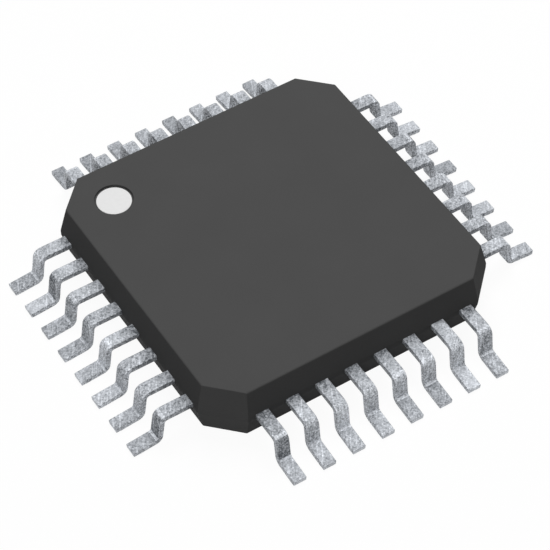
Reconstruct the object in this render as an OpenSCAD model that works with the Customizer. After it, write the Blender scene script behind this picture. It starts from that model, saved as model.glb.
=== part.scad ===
// Analog-to-digital converter chip in a thin quad flat package with gull-wing leads.
// Millimetres. The origin is the middle of the seating plane that the lead feet stand on, +Z is up.
// Leads count counter-clockwise from above. Lead 1 is at the +Y end of the -X side, by the mark.

/* [Leads outside the body] */
// Leads on each of the four sides
leads_per_side = 8; // [6:1:10]
// Distance from one lead to the next
lead_pitch = 0.5; // [0.4:0.05:0.8]
// Width of a lead
lead_w = 0.21; // [0.15:0.01:0.3]
// Thickness of the sheet that leads and die pad are stamped from
lead_t = 0.09; // [0.08:0.01:0.15]
// How far a lead reaches out from the body's widest line
lead_reach = 1; // [0.8:0.05:1.4]
// Length of the straight foot
foot_len = 0.37; // [0.25:0.01:0.45]
// Slope of the foot down to its toe, in degrees
foot_angle = 6; // [0:0.5:7]
// Length of the flat under the toe that rests on the board
toe_flat = 0.08; // [0.04:0.01:0.12]
// Radius on the inside of both bends
lead_bend_r = 0.045; // [0.03:0.005:0.1]
// Lean of the riser from the vertical, in degrees
riser_lean = 8; // [2:1:20]

/* [Moulded body] */
// Gap under the body
standoff = 0.05; // [0.02:0.01:0.15]
// Height of the body below the middle of the leads
body_lower = 0.46; // [0.4:0.01:0.7]
// Height of the body above the middle of the leads
body_upper = 0.49; // [0.42:0.01:0.8]
// From the middle of an end lead to the next side of the body
end_margin = 0.75; // [0.7:0.01:1.2]
// Leg of the cut across each corner
corner_cut = 0.52; // [0.3:0.01:0.6]
// Draft of the walls, in degrees
draft = 13; // [5:1:15]

/* [Pin-one mark] */
// Diameter of the round recess
recess_d = 0.59; // [0.3:0.02:0.8]
// Depth of the recess
recess_depth = 0.04; // [0.02:0.005:0.1]
// Thickness of the white ink on its floor
ink_t = 0.01; // [0.005:0.001:0.015]
// Bare floor around the ink
ink_border = 0.028; // [0.01:0.002:0.06]
// From the body's -X side to the middle of the recess
recess_inset_x = 0.81; // [0.7:0.01:1.2]
// From the body's +Y side to the middle of the recess
recess_inset_y = 0.77; // [0.7:0.01:1.2]

/* [Lead frame inside the body] */
// Straight length of each lead behind the wall
lead_anchor = 0.3; // [0.15:0.01:0.36]
// Width of a lead finger at its tip
finger_tip_w = 0.15; // [0.1:0.01:0.18]
// Gap between the die pad and the finger tips
finger_gap = 0.25; // [0.2:0.01:0.35]
// Die pad that shows around the die
pad_border = 0.25; // [0.1:0.01:0.35]
// How far the die pad is set down below the leads
pad_downset = 0.15; // [0.1:0.01:0.2]
// Slope of the ramp in each tie bar that sets the pad down, in degrees
ramp_angle = 45; // [30:5:60]
// Width of the four tie bars
tie_w = 0.2; // [0.12:0.01:0.24]
// Gap between a tie bar and the nearest finger tip
tie_gap = 0.09; // [0.05:0.01:0.15]
// Mould compound that covers the outer end of a tie bar
tie_cover = 0.2; // [0.1:0.01:0.4]

/* [Die and wires] */
// Side of the square silicon die
die_w = 2; // [1.4:0.05:2.4]
// Thickness of the die
die_t = 0.25; // [0.15:0.01:0.3]
// Thickness of the epoxy under the die
attach_t = 0.025; // [0.015:0.005:0.05]
// Epoxy that shows around the die
attach_border = 0.03; // [0.01:0.01:0.08]
// Diameter of the bond wire
wire_d = 0.025; // [0.018:0.001:0.033]
// How much thinner the wire is drawn in its bend
bend_thinning = 0.002; // [0.001:0.0005:0.004]
// Diameter of the ball on the die
ball_d = 0.07; // [0.05:0.005:0.1]
// Height of the ball
ball_h = 0.02; // [0.01:0.005:0.03]
// From the die's edge to the balls
ball_inset = 0.1; // [0.06:0.01:0.2]
// From the die's corner to the first ball along an edge
ball_corner = 0.23; // [0.18:0.01:0.35]
// Height of the wire loop above the die, to the middle of the wire
loop_h = 0.14; // [0.1:0.01:0.2]
// Radius of the wire's bend, to the middle of the wire
loop_r = 0.05; // [0.03:0.005:0.06]
// From the finger's tip to the middle of the stitch
stitch_inset = 0.12; // [0.08:0.01:0.2]

/* [Hidden] */
$fn = 64;
// Cutting shapes run this far past what they cut
over = 1;

// Leads and body
lead_count = 4 * leads_per_side;
lead_row = (leads_per_side - 1) * lead_pitch;
body_half = lead_row / 2 + end_margin;
body_bottom = standoff;
lead_mid = standoff + body_lower;
lead_top = lead_mid + lead_t / 2;
lead_bottom = lead_mid - lead_t / 2;
body_top = lead_mid + body_upper;
corner_half = (2 * body_half - corner_cut) / sqrt(2);

// Gull wing: shoulder, bend, leaning riser, bend, sloping foot with its toe pressed flat on the seating plane
tip_x = body_half + lead_reach;
toe_press = toe_flat * sin(foot_angle) * cos(foot_angle);
toe_mid_x = tip_x - lead_t / 2 * sin(foot_angle);
toe_mid_z = lead_t / 2 * cos(foot_angle) - toe_press;
bend_angle = 90 - riser_lean;
bend_mid_r = lead_bend_r + lead_t / 2;
bends_run = bend_mid_r * (2 * sin(bend_angle) - sin(foot_angle));
bends_fall = bend_mid_r * (1 + cos(foot_angle) - 2 * cos(bend_angle));
riser_len = (lead_mid - toe_mid_z - bends_fall - foot_len * sin(foot_angle)) / sin(bend_angle);
shoulder_x = toe_mid_x - foot_len * cos(foot_angle) - bends_run - riser_len * cos(bend_angle);

// Fingers fan in from the wall to a square ring around the die pad
pad_half = die_w / 2 + pad_border;
finger_x = pad_half + finger_gap;
knee_x = body_half - lead_anchor;
finger_row = 2 * (finger_x - (tie_w / 2 + tie_gap) * sqrt(2)) - finger_tip_w;

// Stack from the die pad up to the wire loops
pad_top = lead_top - pad_downset;
pad_bottom = lead_bottom - pad_downset;
attach_top = pad_top + attach_t;
die_top = attach_top + die_t;
ball_x = die_w / 2 - ball_inset;
ball_row = die_w - 2 * ball_corner;
stitch_x = finger_x + stitch_inset;
stitch_share = stitch_inset / (knee_x - finger_x);

// Place of number k of a row that is centred on the side, from the first lead to the last
function along(row, k) = row * (k / (leads_per_side - 1) - 0.5);
function lead_name(n) = str("lead_", n < 10 ? "0" : "", n);

// Turns what is drawn for the +X side to the side that lead n is on, first the -X side
module on_side(n) {
    rotate([0, 0, 180 + 90 * floor((n - 1) / leads_per_side)]) children();
}

// Straight length of strip along +X, seen from the side, with what follows at its end
module straight_2d(length) {
    translate([0, -lead_t / 2]) square([length, lead_t]);
    translate([length, 0]) children();
}

// Strip that comes in along +X and bends down by an angle, seen from the side, with what follows at its end
module bend_2d(angle) {
    reach = 2 * (lead_bend_r + lead_t);
    translate([0, -bend_mid_r]) {
        intersection() {
            difference() {
                circle(lead_bend_r + lead_t);
                circle(lead_bend_r);
            }
            polygon([[0, 0], [0, reach], reach * [sin(angle), cos(angle)]]);
        }
        rotate(-angle) translate([0, bend_mid_r]) children();
    }
}

// Side view of a lead, from the middle of the body to the end of the foot
module lead_side_2d() {
    translate([0, lead_mid])
    straight_2d(shoulder_x)
    bend_2d(bend_angle)
    straight_2d(riser_len)
    mirror([0, 1])
    bend_2d(bend_angle - foot_angle)
    straight_2d(foot_len);
}

// Top view of lead number k of a side: tapered finger, then a straight strip
module lead_top_2d(k) {
    y = along(lead_row, k);
    tip_y = along(finger_row, k);
    polygon([
        [finger_x, tip_y - finger_tip_w / 2],
        [knee_x, y - lead_w / 2],
        [tip_x + over, y - lead_w / 2],
        [tip_x + over, y + lead_w / 2],
        [knee_x, y + lead_w / 2],
        [finger_x, tip_y + finger_tip_w / 2]
    ]);
}

// One lead, stamped to its outline and formed to its side view, with its toe flat on the seating plane
module lead(n) {
    k = (n - 1) % leads_per_side;
    color("#a9acb0")
    on_side(n)
    intersection() {
        rotate([90, 0, 0]) linear_extrude(2 * body_half, center = true) lead_side_2d();
        linear_extrude(body_top) lead_top_2d(k);
    }
}

// Drafted slab whose walls stand half_w from the middle along the band at lead height
module drafted_slab(half_w) {
    lower = half_w - (lead_bottom - body_bottom) * tan(draft);
    upper = half_w - (body_top - lead_top) * tan(draft);
    rotate([90, 0, 0])
    linear_extrude(4 * body_half, center = true)
    polygon([
        [-lower, body_bottom],
        [lower, body_bottom],
        [half_w, lead_bottom],
        [half_w, lead_top],
        [upper, body_top],
        [-upper, body_top],
        [-half_w, lead_top],
        [-half_w, lead_bottom]
    ]);
}

// Recess or ink by lead 1, a disc between two heights
module mark_disc(d, bottom, top) {
    translate([recess_inset_x - body_half, body_half - recess_inset_y, bottom])
    cylinder(d = d, h = top - bottom);
}

// Epoxy mould compound, cast around everything inside
module package_body() {
    color("#4e4e4e")
    difference() {
        intersection_for (turn = [0, 90]) rotate([0, 0, turn]) intersection() {
            drafted_slab(body_half);
            rotate([0, 0, 45]) drafted_slab(corner_half);
        }
        mark_disc(recess_d, body_top - recess_depth, body_top + over);
        for (n = [1 : lead_count]) lead(n);
        die_pad();
        die_attach();
        die();
        bond_wires();
    }
}

// Dot of white ink on the floor of the recess
module pin_one_mark() {
    floor_z = body_top - recess_depth;
    color("#e9e9e9") mark_disc(recess_d - 2 * ink_border, floor_z, floor_z + ink_t);
}

// Tie bar along +X: out from the pad, up a ramp to the height of the leads, out to the corner
module tie_bar() {
    ramp_start = pad_half * sqrt(2) + lead_t;
    ramp_end = ramp_start + pad_downset / tan(ramp_angle);
    top_shift = lead_t * tan(ramp_angle / 2);
    end_x = corner_half - tie_cover;
    rotate([90, 0, 0])
    linear_extrude(tie_w, center = true)
    polygon([
        [0, pad_bottom],
        [ramp_start, pad_bottom],
        [ramp_end, lead_bottom],
        [end_x, lead_bottom],
        [end_x, lead_top],
        [ramp_end - top_shift, lead_top],
        [ramp_start - top_shift, pad_top],
        [0, pad_top]
    ]);
}

// Die pad and its four tie bars, one stamped piece
module die_pad() {
    color("peru") {
        translate([-pad_half, -pad_half, pad_bottom]) cube([2 * pad_half, 2 * pad_half, lead_t]);
        for (turn = [45 : 90 : 315]) rotate([0, 0, turn]) tie_bar();
    }
}

// Epoxy layer that holds the die to the pad
module die_attach() {
    side = die_w + 2 * attach_border;
    color("gray") translate([-side / 2, -side / 2, pad_top]) cube([side, side, attach_t]);
}

// Silicon die
module die() {
    color("slategray") translate([-die_w / 2, -die_w / 2, attach_top]) cube([die_w, die_w, die_t]);
}

// One bond wire along +X from a ball on the die to a stitch on a finger at distance run.
// Both ends of the bend lap into the straight lengths, and stay inside them because the bend is thinner.
module bond_wire(run) {
    stem = loop_h - loop_r;
    across = run - loop_r;
    fall = die_top + stem - lead_top;
    slope = atan2(fall, across) + asin(loop_r / norm([across, fall]));
    slope_len = sqrt(across * across + fall * fall - loop_r * loop_r);
    past_stitch = wire_d / tan(slope);
    lap = acos(1 - bend_thinning / (4 * loop_r));
    translate([0, 0, die_top]) {
        cylinder(d = ball_d, h = ball_h);
        cylinder(d = wire_d, h = stem);
        translate([loop_r, 0, stem]) rotate([90, 0, 0]) rotate([0, 0, 90 - slope]) {
            rotate([0, 0, -lap])
            rotate_extrude(angle = 90 + slope + 2 * lap)
            translate([loop_r, 0])
            circle(d = wire_d - bend_thinning);
            translate([loop_r, 0, 0]) rotate([90, 0, 0]) cylinder(d = wire_d, h = slope_len + past_stitch);
        }
    }
}

// All bond wires, each ending flush on its finger
module bond_wires() {
    $fn = 24;
    color("gold")
    difference() {
        for (n = [1 : lead_count]) {
            k = (n - 1) % leads_per_side;
            ball_y = along(ball_row, k);
            stitch_y = along(finger_row, k) + stitch_share * (along(lead_row, k) - along(finger_row, k));
            run = [stitch_x - ball_x, stitch_y - ball_y];
            on_side(n)
            translate([ball_x, ball_y, 0])
            rotate([0, 0, atan2(run[1], run[0])])
            bond_wire(norm(run));
        }
        translate([-body_half, -body_half, lead_top - over]) cube([2 * body_half, 2 * body_half, over]);
    }
}

package_body();
pin_one_mark();
die_pad();
die_attach();
die();
bond_wires();
for (n = [1 : lead_count]) {
    lead(n);
}
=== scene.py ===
# Analog-to-digital converter chip in a thin quad flat package: its looks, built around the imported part.
# Metres. The origin is the middle of the plane that the lead feet stand on, +Z is up, and lead 1 is at the
# +Y end of the -X side. The sections follow the chip from its lead frame out to the studio around it.
import math
import random

import bmesh
import bpy
from mathutils import Matrix, Vector


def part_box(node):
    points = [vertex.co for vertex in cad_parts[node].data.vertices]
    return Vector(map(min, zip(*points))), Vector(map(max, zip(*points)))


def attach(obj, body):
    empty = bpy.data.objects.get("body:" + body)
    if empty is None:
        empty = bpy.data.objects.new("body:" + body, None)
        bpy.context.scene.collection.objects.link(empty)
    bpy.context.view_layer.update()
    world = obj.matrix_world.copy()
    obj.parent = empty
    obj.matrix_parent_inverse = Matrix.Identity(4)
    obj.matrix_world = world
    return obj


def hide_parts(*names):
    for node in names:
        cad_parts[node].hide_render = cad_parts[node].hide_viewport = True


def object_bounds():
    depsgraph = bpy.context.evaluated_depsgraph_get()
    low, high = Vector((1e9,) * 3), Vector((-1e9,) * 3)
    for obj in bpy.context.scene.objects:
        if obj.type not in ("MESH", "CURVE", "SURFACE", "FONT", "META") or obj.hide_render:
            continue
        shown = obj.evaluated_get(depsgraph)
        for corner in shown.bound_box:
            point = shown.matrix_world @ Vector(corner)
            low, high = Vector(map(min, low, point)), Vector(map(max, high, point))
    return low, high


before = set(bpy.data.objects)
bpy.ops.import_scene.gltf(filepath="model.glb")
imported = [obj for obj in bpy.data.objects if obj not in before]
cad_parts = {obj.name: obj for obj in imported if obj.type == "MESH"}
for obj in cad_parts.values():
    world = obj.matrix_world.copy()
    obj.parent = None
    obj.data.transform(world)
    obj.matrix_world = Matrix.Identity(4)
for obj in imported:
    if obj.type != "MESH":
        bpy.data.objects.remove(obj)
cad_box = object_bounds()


# Die pad
# A square of bare copper alloy sheet with four tie bars, stamped from the same strip as the leads and set
# down a little below them. It carries the die. The mould compound hides it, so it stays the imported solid.
mm = 0.001


def linear(colour):
    """Linear red, green, blue and alpha of an sRGB colour such as "c08a62"."""
    parts = [int(colour[i:i + 2], 16) / 255 for i in (0, 2, 4)]
    return [p / 12.92 if p <= 0.04045 else ((p + 0.055) / 1.055) ** 2.4 for p in parts] + [1.0]


def add_node(material, kind, settings=(), links=()):
    """Adds a shader node.

    A setting is one of its properties or inputs, and a link is an input, a source node and its output.
    """
    node = material.node_tree.nodes.new("ShaderNode" + kind)
    for name, value in dict(settings).items():
        if isinstance(name, str) and hasattr(node, name):
            setattr(node, name, value)
        else:
            node.inputs[name].default_value = value
    for name, source, output in links:
        material.node_tree.links.new(source.outputs[output], node.inputs[name])
    return node


def new_material(name):
    """An empty material and its place coordinates, alike for all pieces because each sits at the origin."""
    material = bpy.data.materials.new(name)
    material.use_nodes = True
    material.node_tree.nodes.clear()
    return material, add_node(material, "TexCoord")


def finish_material(material, settings, links):
    """Gives the material its surface shader and returns it."""
    shader = add_node(material, "BsdfPrincipled", settings, links)
    add_node(material, "OutputMaterial", {}, [("Surface", shader, "BSDF")])
    return material


def rolled_copper_alloy():
    """Cold-rolled copper alloy: a warm metal with fine lines along the strip, left by the rolls."""
    line_spacing = 0.02 * mm
    line_length = 1.5 * mm
    line_depth = 0.001 * mm
    material, place = new_material("rolled_copper_alloy")
    stretch = add_node(material, "Mapping",
                       {"Scale": (1 / line_length, 1 / line_spacing, 1 / line_spacing)},
                       [("Vector", place, "Object")])
    lines = add_node(material, "TexNoise", {"Scale": 1, "Detail": 2}, [("Vector", stretch, "Vector")])
    colour = add_node(material, "Mix", {"data_type": "RGBA", 6: linear("b0744d"), 7: linear("cd9270")},
                      [(0, lines, "Fac")])
    relief = add_node(material, "Bump", {"Strength": 0.2, "Distance": line_depth}, [("Height", lines, "Fac")])
    return finish_material(material, {"Metallic": 1, "Roughness": 0.32},
                           [("Base Color", colour, 2), ("Normal", relief, "Normal")])


def dress(node, material):
    """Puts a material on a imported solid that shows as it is."""
    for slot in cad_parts[node].material_slots:
        slot.material = material


dress("die_pad", rolled_copper_alloy())


# Die attach
# A thin layer of epoxy filled with silver flake, printed on the pad and cured under the die. A narrow border
# of it shows around the die.
def silver_filled_epoxy():
    """Cured silver-filled epoxy: a dull warm grey paste with bright flakes."""
    flake = 0.008 * mm
    material, place = new_material("silver_filled_epoxy")
    flakes = add_node(material, "TexVoronoi", {"Scale": 1 / flake}, [("Vector", place, "Object")])
    tone = add_node(material, "SeparateColor", {}, [("Color", flakes, "Color")])
    colour = add_node(material, "Mix", {"data_type": "RGBA", 6: linear("8f8d89"), 7: linear("c2c0bb")},
                      [(0, tone, "Red")])
    return finish_material(material, {"Metallic": 0.4, "Roughness": 0.6}, [("Base Color", colour, 2)])


dress("die_attach", silver_filled_epoxy())


# Die
# The converter itself: a square of silicon, sawn from its wafer, with a glassy passivated top over blocks
# of circuit.
def passivated_silicon():
    """Silicon under nitride: dark, smooth and faintly tinted, in blocks as wide as the circuit's."""
    block = 0.12 * mm
    material, place = new_material("passivated_silicon")
    blocks = add_node(material, "TexVoronoi", {"Scale": 1 / block, "distance": "CHEBYCHEV"},
                      [("Vector", place, "Object")])
    tone = add_node(material, "SeparateColor", {}, [("Color", blocks, "Color")])
    colour = add_node(material, "Mix", {"data_type": "RGBA", 6: linear("4a4f5e"), 7: linear("7c7590")},
                      [(0, tone, "Green")])
    return finish_material(material,
                           {"Metallic": 0.6, "Roughness": 0.18, "Coat Weight": 0.4, "Coat Roughness": 0.05},
                           [("Base Color", colour, 2)])


dress("die", passivated_silicon())


# Bond wires
# Gold wire a fortieth of a millimetre thick, melted to a ball on each pad of the die, looped over and
# pressed flat on its lead's finger. Drawn through a die, so its fine marks run along the loop.
def drawn_gold_wire():
    """Drawn gold: bright and warm, with slight changes of gloss."""
    change = 0.05 * mm
    material, place = new_material("drawn_gold_wire")
    gloss = add_node(material, "TexNoise", {"Scale": 1 / change, "Detail": 2}, [("Vector", place, "Object")])
    colour = add_node(material, "Mix", {"data_type": "RGBA", 6: linear("e0b052"), 7: linear("f2cf7c")},
                      [(0, gloss, "Fac")])
    roughness = add_node(material, "MapRange", {"To Min": 0.16, "To Max": 0.3}, [("Value", gloss, "Fac")])
    return finish_material(material, {"Metallic": 1},
                           [("Base Color", colour, 2), ("Roughness", roughness, "Result")])


dress("bond_wires", drawn_gold_wire())


# Leads
# 32 gull wings of copper alloy strip, stamped, plated with matte tin, moulded in, cut from their dam bars and
# bent in a forming press. Each has a flat finger in the body and a foot that slopes down to stand on its toe.
lead_w = 0.21 * mm
lead_t = 0.09 * mm
foot_len = 0.37 * mm
foot_angle = math.radians(6)
toe_flat = 0.08 * mm
bend_r = 0.045 * mm
riser_lean = math.radians(8)
lead_anchor = 0.3 * mm
finger_tip_w = 0.15 * mm
edge_roll = 0.01 * mm
roll_above = math.radians(40)
smooth_below = math.radians(32)
weld = 0.0001 * mm
bend_steps = 12
leads_per_side = 8

body_low, body_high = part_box("package_body")
first_low, first_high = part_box("lead_01")
tip_x = -first_low.x
finger_x = -first_high.x
lead_top = first_high.z
lead_row = 2 * (first_high.y - lead_w / 2)
finger_row = 2 * (first_low.y + finger_tip_w / 2)
knee_x = body_high.x - lead_anchor
bend_angle = math.pi / 2 - riser_lean
bend_mid_r = bend_r + lead_t / 2
foot_out = Vector((math.sin(foot_angle), 0, math.cos(foot_angle)))
foot_run = Vector((-foot_out.z, 0, foot_out.x))
riser_out = Vector((math.cos(riser_lean), 0, math.sin(riser_lean)))
riser_run = Vector((-riser_out.z, 0, riser_out.x))
toe_press = toe_flat * foot_out.x * foot_out.z
toe = Vector((tip_x, 0, lead_t * foot_out.z - toe_press)) - lead_t / 2 * foot_out
heel = toe + foot_len * foot_run
lower_bend = heel + bend_mid_r * foot_out
riser_start = lower_bend - bend_mid_r * riser_out
riser_end_z = lead_top - lead_t - bend_r + bend_mid_r * riser_out.z
riser_end = riser_start + (riser_end_z - riser_start.z) / riser_run.z * riser_run
upper_bend = riser_end - bend_mid_r * riser_out


def pick(piece, parts, test):
    """In edit mode, selects only the "verts", "edges" or "faces" of the piece that pass the test."""
    bpy.ops.mesh.select_mode(type=parts[:-1].upper())
    bpy.ops.mesh.select_all(action="DESELECT")
    mesh = bmesh.from_edit_mesh(piece.data)
    for part in getattr(mesh, parts):
        part.select_set(test(part))
    bmesh.update_edit_mesh(piece.data)


def bend_on(angle, centre):
    """Bends the strip on from its selected end face, up for a positive angle, about a line along Y."""
    bpy.ops.mesh.spin(steps=bend_steps, angle=-angle, center=centre, axis=(0, 1, 0))


def draw_on(move):
    """Lengthens the strip straight on from its selected end face."""
    bpy.ops.mesh.extrude_region_move(TRANSFORM_OT_translate={"value": move})


def even_shading(piece):
    """Smooth shading over rounded edges that leaves the flat faces flat.

    The faces are weighed in square millimetres, because in square metres they are too small to be told apart.
    """
    bpy.ops.object.shade_smooth_by_angle(angle=smooth_below)
    shading = piece.modifiers.new("even_shading", "WEIGHTED_NORMAL")
    shading.keep_sharp = True
    piece.data.transform(Matrix.Scale(1 / mm, 4))
    bpy.ops.object.modifier_apply(modifier=shading.name)
    piece.data.transform(Matrix.Scale(mm, 4))


def form_lead():
    """A lead of the +X side with its middle on the X axis, bent from its toe inwards."""
    bpy.ops.object.select_all(action="DESELECT")
    bpy.ops.mesh.primitive_plane_add(size=1, location=toe, rotation=(0, math.pi / 2 + foot_angle, 0))
    lead = bpy.context.object
    lead.scale = (lead_t, lead_w, 1)
    bpy.ops.object.transform_apply()
    bpy.ops.object.mode_set(mode="EDIT")
    draw_on(heel - toe)
    bend_on(bend_angle - foot_angle, lower_bend)
    draw_on(riser_end - riser_start)
    bend_on(-bend_angle, upper_bend)
    draw_on((knee_x - upper_bend.x, 0, 0))
    draw_on((finger_x - knee_x, 0, 0))
    bpy.ops.transform.resize(value=(1, finger_tip_w / lead_w, 1), center_override=(finger_x, 0, lead_top))
    bpy.ops.mesh.select_all(action="SELECT")
    bpy.ops.mesh.remove_doubles(threshold=weld)
    bpy.ops.mesh.normals_make_consistent(inside=False)
    bpy.ops.mesh.bisect(plane_co=(0, 0, 0), plane_no=(0, 0, 1), use_fill=True, clear_inner=True,
                        threshold=weld)
    bpy.ops.object.mode_set(mode="OBJECT")

    rolled = lead.modifiers.new("edge_roll", "BEVEL")
    rolled.width = edge_roll
    rolled.segments = 3
    rolled.limit_method = "ANGLE"
    rolled.angle_limit = roll_above
    bpy.ops.object.modifier_apply(modifier=rolled.name)
    even_shading(lead)
    return lead


def matte_tin_plate():
    """Matte tin: a cool light grey of dull crystals, scuffed in short strokes, with painted shade beside the
    body.

    The crystals and strokes are drawn several times coarser than the real ones, so that they show. A face's
    marks are its tone, partly painted light, its wear, which deepens the grain, and its painted shade near
    the body.
    """
    crystal = 0.02 * mm
    fleck = 0.03 * mm
    stroke_length = 0.12 * mm
    stroke_width = 0.014 * mm
    stroke_turns = (math.radians(35), math.radians(-50))
    patch = 0.2 * mm
    root_shade_reach = 0.26 * mm
    shade_blotch = 0.07 * mm
    streak_length = 0.3 * mm
    streak_width = 0.025 * mm
    streak_turn = math.radians(62)
    relief_depth = 0.004 * mm
    crystal_share = 0.2
    fleck_share = 0.7
    scuff_share = 0.7
    patch_share = 0.3
    plain_tone = 0.195
    tone_step = 0.11
    streak_tone = 0.22
    root_shade_tone = -0.48
    material, place = new_material("matte_tin_plate")
    marks = add_node(material, "Attribute", {"attribute_name": "tone_wear_and_painted_shading"})
    press = add_node(material, "SeparateXYZ", {}, [("Vector", marks, "Vector")])

    crystals = add_node(material, "TexVoronoi", {"Scale": 1 / crystal}, [("Vector", place, "Object")])
    crystal_tone = add_node(material, "SeparateColor", {}, [("Color", crystals, "Color")])
    flecks = add_node(material, "TexNoise", {"Scale": 1 / fleck, "Detail": 3, "Roughness": 0.65},
                      [("Vector", place, "Object")])
    patches = add_node(material, "TexNoise", {"Scale": 1 / patch, "Detail": 3},
                       [("Vector", place, "Object")])
    strokes = []
    for stroke_turn in stroke_turns:
        run = add_node(material, "Mapping",
                       {"vector_type": "TEXTURE", "Rotation": (0, 0, stroke_turn),
                        "Scale": (stroke_length, stroke_width, stroke_width)},
                       [("Vector", place, "Object")])
        strokes.append(add_node(material, "TexNoise", {"Scale": 1, "Detail": 2}, [("Vector", run, "Vector")]))
    scuffs = add_node(material, "Mix", {},
                      [(0, patches, "Fac"), (2, strokes[0], "Fac"), (3, strokes[1], "Fac")])
    middle = (crystal_share + fleck_share + scuff_share) / 2
    grain = add_node(material, "Math", {"operation": "MULTIPLY_ADD", 1: crystal_share, 2: -middle},
                     [(0, crystal_tone, "Red")])
    flecked = add_node(material, "Math", {"operation": "MULTIPLY_ADD", 1: fleck_share},
                       [(0, flecks, "Fac"), (2, grain, "Value")])
    scuffed = add_node(material, "Math", {"operation": "MULTIPLY_ADD", 1: scuff_share},
                       [(0, scuffs, 0), (2, flecked, "Value")])

    streak_run = add_node(material, "Mapping",
                          {"vector_type": "TEXTURE", "Rotation": (0, 0, streak_turn),
                           "Scale": (streak_length, streak_width, streak_length)},
                          [("Vector", place, "Object")])
    streaks = add_node(material, "TexNoise", {"Scale": 1, "Detail": 1}, [("Vector", streak_run, "Vector")])
    streaked = add_node(material, "MapRange", {"From Min": 0.56, "From Max": 0.72, "To Max": streak_tone},
                        [("Value", streaks, "Fac")])
    patchy = add_node(material, "Math", {"operation": "MULTIPLY_ADD", 1: patch_share, 2: plain_tone},
                      [(0, patches, "Fac")])
    worn = add_node(material, "Math", {"operation": "MULTIPLY_ADD"},
                    [(0, scuffed, "Value"), (1, press, "Y"), (2, patchy, "Value")])
    pressed = add_node(material, "Math", {"operation": "MULTIPLY_ADD", 1: tone_step},
                       [(0, press, "X"), (2, worn, "Value")])

    # Painted shade: the tin gets darker towards the body, where the body shades the lead roots, in blotches.
    across = add_node(material, "SeparateXYZ", {}, [("Vector", place, "Object")])
    across_x = add_node(material, "Math", {"operation": "ABSOLUTE"}, [(0, across, "X")])
    across_y = add_node(material, "Math", {"operation": "ABSOLUTE"}, [(0, across, "Y")])
    reach = add_node(material, "Math", {"operation": "MAXIMUM"},
                     [(0, across_x, "Value"), (1, across_y, "Value")])
    near = add_node(material, "MapRange",
                    {"From Min": body_high.x + root_shade_reach, "From Max": body_high.x, "To Max": root_shade_tone},
                    [("Value", reach, "Value")])
    root_shade_amount = add_node(material, "Math", {"operation": "MULTIPLY"}, [(0, near, "Result"), (1, press, "Z")])
    shade_blotches = add_node(material, "TexNoise", {"Scale": 1 / shade_blotch, "Detail": 4, "Roughness": 0.7},
                       [("Vector", place, "Object")])
    blotched_shade = add_node(material, "MapRange", {"From Min": 0.4, "From Max": 0.65},
                       [("Value", shade_blotches, "Fac")])
    root_shaded = add_node(material, "Math", {"operation": "MULTIPLY_ADD"},
                       [(0, blotched_shade, "Result"), (1, root_shade_amount, "Value"), (2, pressed, "Value")])

    tone = add_node(material, "Math", {"operation": "ADD"},
                    [(0, root_shaded, "Value"), (1, streaked, "Result")])
    colour = add_node(material, "Mix", {"data_type": "RGBA", 6: linear("53575c"), 7: linear("f1f5fb")},
                      [(0, tone, "Value")])
    roughness = add_node(material, "MapRange", {"To Min": 0.55, "To Max": 0.8},
                         [("Value", crystal_tone, "Green")])
    relief = add_node(material, "Bump", {"Strength": 0.3, "Distance": relief_depth},
                      [("Height", scuffed, "Value")])
    return finish_material(material, {"Metallic": 0.45},
                           [("Base Color", colour, 2), ("Roughness", roughness, "Result"),
                            ("Normal", relief, "Normal")])


# How squarely a face looks out, in or sideways, as a share of its normal, for its tone, wear and painted
# shading.
tip_facing = 0.9
side_facing = 0.7
inner_facing = 0.3
edge_facing = 0.2
crown_slope = math.cos(math.radians(15))
crest_slope = math.cos(math.radians(40))

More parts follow.
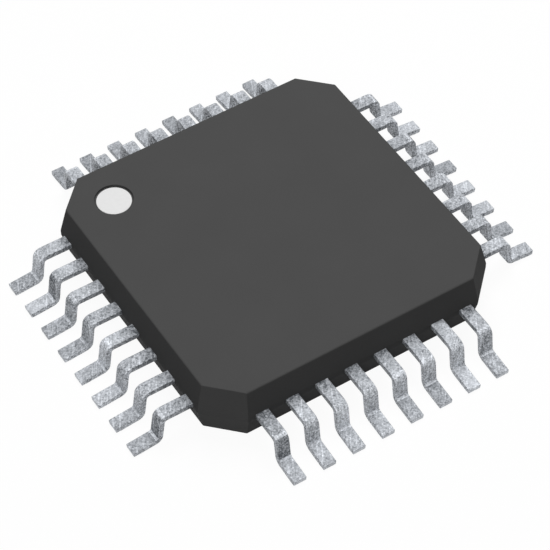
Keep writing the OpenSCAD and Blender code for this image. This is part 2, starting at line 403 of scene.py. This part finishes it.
formed_lead = form_lead()
formed_lead.data.materials.append(matte_tin_plate())
for number in range(1, 4 * leads_per_side + 1):
    side, k = divmod(number - 1, leads_per_side)
    share = k / (leads_per_side - 1) - 0.5
    lead = formed_lead.copy()
    lead.data = formed_lead.data.copy()
    lead.name = f"formed_lead_{number:02d}"
    bpy.context.collection.objects.link(lead)
    for corner in lead.data.vertices:
        bent_in = max(0, (knee_x - corner.co.x) / (knee_x - finger_x))
        corner.co.y += share * (lead_row + bent_in * (finger_row - lead_row))
    chance = random.Random(number)
    cropped_marks = (2.4, 1, 0)
    foot_marks = (chance.uniform(-1, 1.2), 1, 0)
    # Painted light: the lower bends are lighter, to lift the shadow that the riser casts on the heel.
    lower_bend_painted_light_marks = (chance.uniform(1.4, 3.4), 1.6, 0)
    riser_marks = (chance.uniform(-2.2, 3), 2, 0)
    # Painted highlight: the upper bends are lighter, as if they caught the light.
    upper_bend_painted_highlight_marks = (chance.uniform(0.5, 2.5), 1.6, 0)
    # The third number of a face's marks is how much painted shade it takes beside the body.
    shoulder_marks = (chance.uniform(-0.42, 0.68), 1.15, chance.uniform(0.3, 1.4))
    # Painted light: the inner faces are lighter, to lift the shade they lie in.
    inner_painted_light_marks = (chance.uniform(-1, 3), 3, 0)
    # Painted light: the sheared sides are lighter than the light on them makes them.
    sheared_painted_light_marks = (chance.uniform(0.5, 1.5), 2.2, 0)
    # Painted shade: the shoulders' sides and the inner edges are darker, as if shaded under the shoulder.
    shaded_edge_marks = (chance.uniform(-1, 0), 1.8, 1)
    tone_wear_and_painted_shading = lead.data.attributes.new("tone_wear_and_painted_shading", "FLOAT_VECTOR", "FACE")
    for face, mark in zip(lead.data.polygons, tone_wear_and_painted_shading.data):
        x, _, z = face.center
        outward, _, upward = face.normal
        sideways = abs(face.normal.y)
        shaded_shoulder_side = sideways > side_facing and x < upper_bend.x
        inner_edge = sideways > edge_facing and outward < -edge_facing
        if outward > tip_facing and x > heel.x:
            mark.vector = cropped_marks
        elif shaded_shoulder_side or inner_edge:
            mark.vector = shaded_edge_marks
        elif sideways > side_facing:
            mark.vector = sheared_painted_light_marks
        elif x > heel.x:
            mark.vector = foot_marks
        elif outward < -inner_facing:
            mark.vector = inner_painted_light_marks
        elif z < riser_start.z:
            mark.vector = lower_bend_painted_light_marks
        elif x > upper_bend.x and upward < crest_slope:
            mark.vector = riser_marks
        elif x > upper_bend.x and upward < crown_slope:
            mark.vector = upper_bend_painted_highlight_marks
        else:
            mark.vector = shoulder_marks
    lead.data.transform(Matrix.Rotation(math.pi + side * math.pi / 2, 4, "Z"))
    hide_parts(f"lead_{number:02d}")
    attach(lead, "root")
bpy.data.objects.remove(formed_lead)


# Moulded body
# Black epoxy mould compound, cast around the lead frame in a two-part steel mould. The halves meet at the
# leads and their walls have draft, so that it drops out. Compound ran in, and air out, at the cut corners.
corner_cut = 0.52 * mm
draft = math.radians(13)
edge_round = 0.028 * mm
corner_share = 0.4
rim_round = 0.004 * mm
recess_sides = 96
face_up = 0.9
wall_facing = 0.9
corner_facing = 0.6
corner_shade_share = 0.4
faint_crease = math.radians(5)
sharp_crease = 2 * draft
long_edge = 2 * corner_cut
same_place = 0.001 * mm

mark_low, mark_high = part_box("pin_one_mark")
mark_middle = (mark_low + mark_high) / 2
ink_r = (mark_high.x - mark_low.x) / 2
ink_border = 0.028 * mm
recess_r = ink_r + ink_border
recess_floor = mark_low.z


def on_band_edge(corner):
    """Whether a corner of the body lies at the upper or lower edge of the band at lead height."""
    return abs(abs(corner.co.z - lead_top + lead_t / 2) - lead_t / 2) < same_place


def on_recess_rim(corner):
    """Whether a corner of the body lies on the rim of the recess."""
    off_rim = (corner.co.xy - mark_middle.xy).length - recess_r
    return abs(corner.co.z - body_high.z) < same_place and abs(off_rim) < same_place


def mould_body():
    """The octagonal band at lead height, both drafted halves, rounded edges and the recess by lead 1."""
    band_bottom = lead_top - lead_t
    width = body_high.x - body_low.x
    bpy.ops.object.select_all(action="DESELECT")
    bpy.ops.mesh.primitive_cube_add(size=1, location=(0, 0, lead_top - lead_t / 2))
    body = bpy.context.object
    body.name = "moulded_body"
    body.scale = (width, width, lead_t)
    bpy.ops.object.transform_apply()
    bpy.ops.object.mode_set(mode="EDIT")
    pick(body, "edges", lambda edge: abs(edge.verts[0].co.z - edge.verts[1].co.z) > lead_t / 2)
    bpy.ops.mesh.bevel(offset=corner_cut, segments=1, affect="EDGES")
    for up, height in ((1, body_high.z - lead_top), (-1, band_bottom - body_low.z)):
        pick(body, "faces", lambda face: face.normal.z * up > face_up)
        bpy.ops.mesh.inset(thickness=height * math.tan(draft), depth=height)
    pick(body, "edges", lambda edge: edge.calc_face_angle(0) > sharp_crease)
    bpy.ops.transform.edge_bevelweight(value=corner_share)
    pick(body, "edges", lambda edge: edge.calc_face_angle(0) > sharp_crease
         and edge.calc_length() > long_edge)
    bpy.ops.transform.edge_bevelweight(value=1 - corner_share)
    bpy.ops.object.mode_set(mode="OBJECT")
    rounded = body.modifiers.new("edge_round", "BEVEL")
    rounded.width = edge_round
    rounded.segments = 4
    rounded.limit_method = "WEIGHT"
    bpy.ops.object.modifier_apply(modifier=rounded.name)
    bpy.ops.object.mode_set(mode="EDIT")
    pick(body, "edges", lambda edge: faint_crease < edge.calc_face_angle(0) < sharp_crease
         and all(on_band_edge(corner) for corner in edge.verts))
    bpy.ops.mesh.mark_sharp()
    bpy.ops.object.mode_set(mode="OBJECT")

    bpy.ops.object.select_all(action="DESELECT")
    depth = 2 * (body_high.z - recess_floor)
    bpy.ops.mesh.primitive_cylinder_add(vertices=recess_sides, radius=recess_r, depth=depth,
                                        location=(mark_middle.x, mark_middle.y, body_high.z))
    punch = bpy.context.object
    bpy.context.view_layer.objects.active = body
    cut = body.modifiers.new("recess", "BOOLEAN")
    cut.object = punch
    cut.operation = "DIFFERENCE"
    cut.solver = "EXACT"
    bpy.ops.object.modifier_apply(modifier=cut.name)
    bpy.data.objects.remove(punch)
    bpy.ops.object.select_all(action="DESELECT")
    body.select_set(True)
    bpy.ops.object.mode_set(mode="EDIT")
    pick(body, "edges", lambda edge: all(on_recess_rim(corner) for corner in edge.verts))
    bpy.ops.mesh.bevel(offset=rim_round, segments=2, affect="EDGES")
    bpy.ops.object.mode_set(mode="OBJECT")
    even_shading(body)

    # Painted shade: each face's share of the darker wall colour, full on the walls and less on the cut
    # corners.
    walls = body.data.attributes.new("painted_wall_shade", "FLOAT", "FACE")
    for face, wall in zip(body.data.polygons, walls.data):
        steepness = max(abs(face.normal.x), abs(face.normal.y))
        wall.value = 1 if steepness > wall_facing else corner_shade_share if steepness > corner_facing else 0
    return body


def black_mould_compound():
    """Epoxy with fused silica filler, matte from the spark-eroded mould: dark neutral grey, very fine grain.

    The walls are coloured darker than the top as painted shade, and the cut corners a little darker.
    """
    grain = 0.02 * mm
    grain_depth = 0.002 * mm
    flow = 0.9 * mm
    material, place = new_material("black_mould_compound")
    grains = add_node(material, "TexNoise", {"Scale": 1 / grain, "Detail": 2}, [("Vector", place, "Object")])
    flows = add_node(material, "TexNoise", {"Scale": 1 / flow, "Detail": 3}, [("Vector", place, "Object")])
    tone = add_node(material, "Mix", {0: 0.4}, [(2, grains, "Fac"), (3, flows, "Fac")])
    pressed = add_node(material, "Mix", {"data_type": "RGBA", 6: linear("494949"), 7: linear("535353")},
                       [(0, tone, 0)])
    # Painted shade: the darker colour of the walls.
    wall_shade_colour = add_node(material, "Mix", {"data_type": "RGBA", 6: linear("3e3e3e"), 7: linear("484848")},
                       [(0, tone, 0)])
    wall = add_node(material, "Attribute", {"attribute_name": "painted_wall_shade"})
    colour = add_node(material, "Mix", {"data_type": "RGBA"},
                      [(0, wall, "Fac"), (6, pressed, 2), (7, wall_shade_colour, 2)])
    relief = add_node(material, "Bump", {"Strength": 0.15, "Distance": grain_depth},
                      [("Height", grains, "Fac")])
    return finish_material(material, {"Roughness": 0.75, "IOR": 1.55, "Specular IOR Level": 0.03},
                           [("Base Color", colour, 2), ("Normal", relief, "Normal")])


body = mould_body()
body.data.materials.clear()
body.data.materials.append(black_mould_compound())
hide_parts("package_body")
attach(body, "root")


# Pin-one mark
# A dot of white marking ink, dabbed on the floor of the recess and cured. A bare border is left around it.
ink_round = 0.004 * mm


def dab_of_ink():
    """A thin disc with its upper edge rounded off."""
    thickness = mark_high.z - mark_low.z
    bpy.ops.object.select_all(action="DESELECT")
    bpy.ops.mesh.primitive_cylinder_add(vertices=recess_sides, radius=ink_r, depth=thickness,
                                        location=mark_middle)
    ink = bpy.context.object
    ink.name = "ink_mark"
    bpy.ops.object.transform_apply()
    bpy.ops.object.mode_set(mode="EDIT")
    pick(ink, "edges", lambda edge: all(corner.co.z > mark_middle.z for corner in edge.verts))
    bpy.ops.mesh.bevel(offset=ink_round, segments=3, affect="EDGES")
    bpy.ops.object.mode_set(mode="OBJECT")
    even_shading(ink)
    return ink


def white_marking_ink():
    """Cured marking ink: matte white, a little uneven in its cover."""
    unevenness = 0.06 * mm
    cover_depth = 0.002 * mm
    material, place = new_material("white_marking_ink")
    cover = add_node(material, "TexNoise", {"Scale": 1 / unevenness, "Detail": 3},
                     [("Vector", place, "Object")])
    colour = add_node(material, "Mix", {"data_type": "RGBA", 6: linear("e0e0e0"), 7: linear("e8e8e8")},
                      [(0, cover, "Fac")])
    relief = add_node(material, "Bump", {"Strength": 0.1, "Distance": cover_depth},
                      [("Height", cover, "Fac")])
    return finish_material(material, {"Roughness": 0.6},
                           [("Base Color", colour, 2), ("Normal", relief, "Normal")])


ink = dab_of_ink()
ink.data.materials.append(white_marking_ink())
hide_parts("pin_one_mark")
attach(ink, "root")


# Studio
# A plain white sweep that keeps a faint shadow, a soft lamp above on the right, a wide card high in front and
# a little even light. Camera and mirrors see the sweep white, and it throws back the light of grey paper.
floor_w = 0.8
paper_glow = 0.94
ambient = 0.03
lamps = {"soft_lamp": {"place": Vector((7.2, 7.7, 30.3)) * mm, "width": 24 * mm, "power": 0.0074},
         "front_card": {"place": Vector((-34, -36, 54)) * mm, "width": 40 * mm, "power": 0.0223}}


def seen_white(material):
    """A factor that is 1 for what the camera sees, also in mirrors or glass, and 0 for bounced light."""
    ray = add_node(material, "LightPath")
    mirrored = add_node(material, "Math", {"operation": "MAXIMUM"},
                        [(0, ray, "Is Camera Ray"), (1, ray, "Is Glossy Ray")])
    return add_node(material, "Math", {"operation": "MAXIMUM"},
                    [(0, mirrored, "Value"), (1, ray, "Is Transmission Ray")])


def white_paper():
    """White background paper that partly glows, so that shadows on it stay faint."""
    material, _ = new_material("white_paper")
    bounced = add_node(material, "BsdfDiffuse", {"Color": linear("b8b8b8")})
    lit = add_node(material, "BsdfDiffuse", {"Color": linear("ffffff")})
    glow = add_node(material, "Emission", {"Color": linear("ffffff"), "Strength": 1})
    seen = add_node(material, "MixShader", {0: paper_glow}, [(1, lit, "BSDF"), (2, glow, "Emission")])
    surface = add_node(material, "MixShader", {},
                       [(0, seen_white(material), "Value"), (1, bounced, "BSDF"), (2, seen, "Shader")])
    add_node(material, "OutputMaterial", {}, [("Surface", surface, "Shader")])
    material.cycles.emission_sampling = "NONE"
    return material


bpy.ops.object.select_all(action="DESELECT")
bpy.ops.mesh.primitive_plane_add(size=floor_w, location=(0, 0, cad_box[0].z))
sweep = bpy.context.object
sweep.name = "white_sweep"
sweep.data.materials.append(white_paper())

world = bpy.data.worlds.new("studio")
world.use_nodes = True
world.node_tree.nodes.clear()
even_light = add_node(world, "Background", {"Color": linear("ffffff"), "Strength": ambient})
white = add_node(world, "Background", {"Color": linear("ffffff"), "Strength": 1})
around = add_node(world, "MixShader", {},
                  [(0, seen_white(world), "Value"), (1, even_light, "Background"), (2, white, "Background")])
add_node(world, "OutputWorld", {}, [("Surface", around, "Shader")])
world.cycles.sampling_method = "NONE"
bpy.context.scene.world = world

for name, light in lamps.items():
    lamp = bpy.data.objects.new(name, bpy.data.lights.new(name, "AREA"))
    bpy.context.collection.objects.link(lamp)
    lamp.data.shape = "DISK"
    lamp.data.size = light["width"]
    lamp.data.energy = light["power"]
    lamp.location = light["place"]
    lamp.rotation_mode = "QUATERNION"
    lamp.rotation_quaternion = light["place"].to_track_quat("Z", "Y")
    lamp.visible_camera = False


# Camera
# It looks down on the corner between the -X and -Y sides through a long lens.
camera_place = Vector((-12.300, -19.669, 27.855)) * mm
azimuth = math.radians(-32.122)
elevation = math.radians(50.322)
roll = math.radians(-0.395)
sensor_w = 36
focal_widths = 4.372

camera = bpy.data.objects.new("camera", bpy.data.cameras.new("camera"))
bpy.context.collection.objects.link(camera)
camera.data.sensor_fit = "HORIZONTAL"
camera.data.sensor_width = sensor_w
camera.data.lens = focal_widths * sensor_w
camera.data.clip_start = 1 * mm
turn = Matrix.Rotation(azimuth, 4, "Z") @ Matrix.Rotation(math.pi / 2 - elevation, 4, "X")
camera.matrix_world = Matrix.Translation(camera_place) @ turn @ Matrix.Rotation(roll, 4, "Z")
bpy.context.scene.camera = camera
bpy.context.scene.view_settings.view_transform = "Standard"
